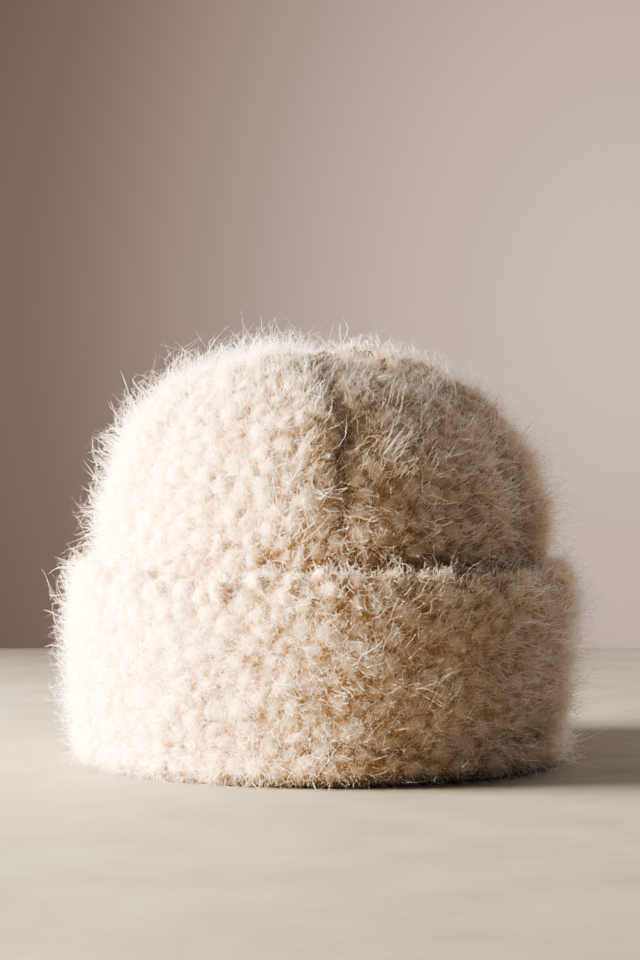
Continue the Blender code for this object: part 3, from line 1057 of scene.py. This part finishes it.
# %% Grow the coats
Coat = namedtuple(
    "Coat", "name hair faces most tufted length width stray gather loose wisp_area curl finish seed"
)
COATS = (
    Coat(
        "lint", lint_hair, faces=1, most=76_000, tufted=0.6, length=3.2 * MM, width=0.21 * MM,
        stray=1.3, gather=0.4, loose=0.3, wisp_area=5 * MM**2, curl=0.0, finish=fuzz_finish, seed=13,
    ),
    Coat(
        "fuzz", short_hair, faces=3, most=174_000, tufted=0.7, length=5.8 * MM, width=0.14 * MM,
        stray=1.1, gather=0.36, loose=0.35, wisp_area=8 * MM**2, curl=0.7, finish=fuzz_finish, seed=21,
    ),
    Coat(
        "wisps", long_hair, faces=5, most=84_000, tufted=1.0, length=14 * MM, width=0.13 * MM,
        stray=1.0, gather=0.42, loose=0.3, wisp_area=20 * MM**2, curl=0.5, finish=wisp_finish, seed=57,
    ),
    Coat(
        "strays", stray_hair, faces=9, most=72_000, tufted=0.4, length=17.5 * MM, width=0.13 * MM,
        stray=1.3, gather=0.4, loose=0.3, wisp_area=40 * MM**2, curl=0.48, finish=wisp_finish, seed=83,
    ),
)
CUFF_SEEDS = 100
FLOOR = 0.25 * MM
LEFTOVERS = (
    "root", "knee", "tip", "side", "facing", "shade", "phase", "size", "along", "across",
    "lie", "reach", "growth", "sunk", "deep", "tone",
)


def growing_area(mesh, tufted):
    """The area where hair grows, each face counted by its growth."""
    growth = np.zeros(len(mesh.vertices), np.float32)
    mesh.attributes["growth"].data.foreach_get("value", growth)
    growth = growth**tufted
    return sum(face.area * growth[list(face.vertices)].mean() for face in mesh.polygons)


def grow(knit, coat, seed):
    source = bpy.data.objects.new("source", knit.data)
    bpy.context.scene.collection.objects.link(source)
    modifier = source.modifiers.new("coat", "NODES")
    modifier.node_group = coat_tree
    values = {
        **coat._asdict(),
        "hairs per m2": coat.most / coat.faces / growing_area(knit.data, coat.tufted),
        "wisps per m2": 1.0 / coat.wisp_area,
        "floor": FLOOR,
        "seed": seed,
    }
    for item in coat_tree.interface.items_tree:
        if item.name in values:
            modifier[item.identifier] = values[item.name]
    graph = bpy.context.evaluated_depsgraph_get()
    mesh = bpy.data.meshes.new_from_object(source.evaluated_get(graph))
    bpy.data.objects.remove(source)
    for name in LEFTOVERS:
        if name in mesh.attributes:
            mesh.attributes.remove(mesh.attributes[name])
    piece = bpy.data.objects.new(knit.name.replace("knit", coat.name), mesh)
    bpy.context.scene.collection.objects.link(piece)
    return piece


coats = []
for knit, offset in ((crown, 0), (cuff, CUFF_SEEDS)):
    for coat in COATS:
        piece = grow(knit, coat, coat.seed + offset)
        coats.append(piece)
        triangles = sum(len(face.vertices) - 2 for face in piece.data.polygons)
        print(piece.name, triangles, "triangles")
for shape in (lint_hair, short_hair, long_hair, stray_hair):
    bpy.data.objects.remove(shape)

# %% [markdown]
# ## The floor and the backdrop
#
# A pale table top ends about two feet behind the hat, and far behind it is a wall that glows
# by itself. Both are stage, not part of the hat. The table is faintly clouded, and painted
# shade dims it towards its back edge, most on the left. The wall's light is painted on: it is
# paler on its right, with painted shade above and below its middle. It is far enough away to
# stay clear of the camera when the hat is looked at from behind.

# %% Set the stage
TABLE_BACK = 0.615
TABLE_HALF = 2.5
WALL_Y = 2.4
WALL_HALF = 3.0
WALL_LOW = -2.0
WALL_HIGH = 3.0
WALL_MIDDLE = 0.37

TABLE_CLOUDY = (0.275, 0.246, 0.198, 1.0)
TABLE_PALE = (0.342, 0.309, 0.254, 1.0)
TABLE_PAINTED_SHADE = (0.075, 0.062, 0.052, 1.0)
TABLE_FINISH = {"Roughness": 0.7, "Specular IOR Level": 0.25}
WALL_LEFT = (0.200, 0.150, 0.128, 1.0)
WALL_RIGHT = (0.585, 0.455, 0.395, 1.0)
WALL_PAINTED_SHADE = (0.10, 0.07, 0.055, 1.0)


def stage_plane(name, corners, material):
    mesh = bpy.data.meshes.new(name)
    mesh.from_pydata(corners, [], [(0, 1, 2, 3)])
    mesh.materials.append(material)
    plane = bpy.data.objects.new(name, mesh)
    bpy.context.scene.collection.objects.link(plane)


def table_material():
    material, tree = new_material("pale_table")
    where = add_node(tree, "ShaderNodeTexCoord").outputs["Object"]
    parts = add_node(tree, "ShaderNodeSeparateXYZ", {"Vector": where}).outputs
    clouds = {"Vector": where, "Scale": 26.0, "Detail": 6.0, "Roughness": 0.6}
    cloud = add_node(tree, "ShaderNodeTexNoise", clouds).outputs["Fac"]
    colour = mixed_colour(tree, ramp(tree, cloud, 0.3, 0.7), TABLE_CLOUDY, TABLE_PALE)
    # Painted shade: the table darkens towards its back edge, most on the left, as the light falls off.
    back = ramp(tree, parts["Y"], 0.26, 0.58)
    brink = ramp(tree, parts["Y"], 0.585, TABLE_BACK)
    left = ramp(tree, parts["X"], -0.25, 0.2, 0.74, 0.22)
    dim = scalar(tree, "MULTIPLY_ADD", brink, 0.3, scalar(tree, "MULTIPLY", back, 0.9))
    dim = scalar(tree, "MINIMUM", scalar(tree, "MULTIPLY", dim, left), 1.0)
    colour = mixed_colour(tree, dim, colour, TABLE_PAINTED_SHADE)
    sockets = {"Base Color": colour, **TABLE_FINISH}
    show_by(tree, add_node(tree, "ShaderNodeBsdfPrincipled", sockets).outputs[0])
    return material


def wall_material():
    """A wall that glows by itself with its light painted on: paler on its right, and darker with
    painted shade a little above and below its middle.
    """
    material, tree = new_material("plain_wall")
    where = add_node(tree, "ShaderNodeTexCoord").outputs["Object"]
    parts = add_node(tree, "ShaderNodeSeparateXYZ", {"Vector": where}).outputs
    # Painted light: the wall is paler on its right, where more light falls.
    across = ramp(tree, parts["X"], -0.55, 0.45, shape="SMOOTHSTEP")
    colour = mixed_colour(tree, across, WALL_LEFT, WALL_RIGHT)
    # Painted shade a little above and below the wall's middle.
    from_middle = scalar(tree, "ABSOLUTE", scalar(tree, "SUBTRACT", parts["Z"], WALL_MIDDLE))
    fall = scalar(tree, "MULTIPLY", scalar(tree, "POWER", from_middle, 1.6), 0.7)
    colour = mixed_colour(tree, fall, colour, WALL_PAINTED_SHADE)
    # The wall glows by itself, though it is no lamp.
    show_by(tree, add_node(tree, "ShaderNodeEmission", {"Color": colour, "Strength": 1.0}).outputs[0])
    return material


def rectangle(half, low, high):
    return [(-half, low), (half, low), (half, high), (-half, high)]


table_corners = [(x, y, 0.0) for x, y in rectangle(TABLE_HALF, -TABLE_HALF, TABLE_BACK)]
wall_corners = [(x, WALL_Y, z) for x, z in rectangle(WALL_HALF, WALL_LOW, WALL_HIGH)]
stage_plane("table", table_corners, table_material())
stage_plane("wall", wall_corners, wall_material())
print("table ends", TABLE_BACK, "m behind the middle")

# %% [markdown]
# ## Light
#
# One soft warm lamp stands low on the left and barely in front, so that the left half of the hat
# glows, the puffs in the middle throw shadows, and the right half falls into shade. A weak lamp
# at the back right stands for the room, and the world fills the shade with a pale cool light.

# %% Light the hat
WORLD_COLOUR = (0.82, 0.88, 1.0, 1.0)
WORLD_STRENGTH = 0.31
AIM = Vector((0.0, 0.0, 0.09))


def soft_lamp(name, azimuth, elevation, distance, size, watts, colour):
    """A lamp that faces the hat, its azimuth counted from the front towards the right."""
    turn, rise = math.radians(azimuth), math.radians(elevation)
    level = math.cos(rise)
    back = Vector((math.sin(turn) * level, -math.cos(turn) * level, math.sin(rise)))
    data = bpy.data.lights.new(name, "AREA")
    data.shape = "ELLIPSE"
    data.size, data.size_y = size
    data.energy = watts
    data.color = colour
    lamp = bpy.data.objects.new(name, data)
    lamp.location = AIM + back * distance
    lamp.rotation_mode = "QUATERNION"
    lamp.rotation_quaternion = back.to_track_quat("Z", "Y")
    bpy.context.scene.collection.objects.link(lamp)


soft_lamp(
    "key", azimuth=-85.0, elevation=9.0, distance=1.15, size=(0.64, 0.42),
    watts=109.0, colour=(1.0, 0.928, 0.775),
)
soft_lamp(
    "room", azimuth=140.0, elevation=20.0, distance=1.6, size=(1.0, 1.0),
    watts=10.5, colour=(1.0, 0.90, 0.80),
)
world = bpy.data.worlds.new("studio")
world.use_nodes = True
background = world.node_tree.nodes["Background"]
background.inputs["Color"].default_value = WORLD_COLOUR
background.inputs["Strength"].default_value = WORLD_STRENGTH
bpy.context.scene.world = world

# %% [markdown]
# ## Hand the pieces over
#
# Every piece rides on the hat's one body. The knit pieces stand for the two solids of the
# imported model, and the coats go with them.

# %% Ride and replace
for piece in (crown, cuff, *coats):
    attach(piece, "root")
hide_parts("crown")
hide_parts("cuff")
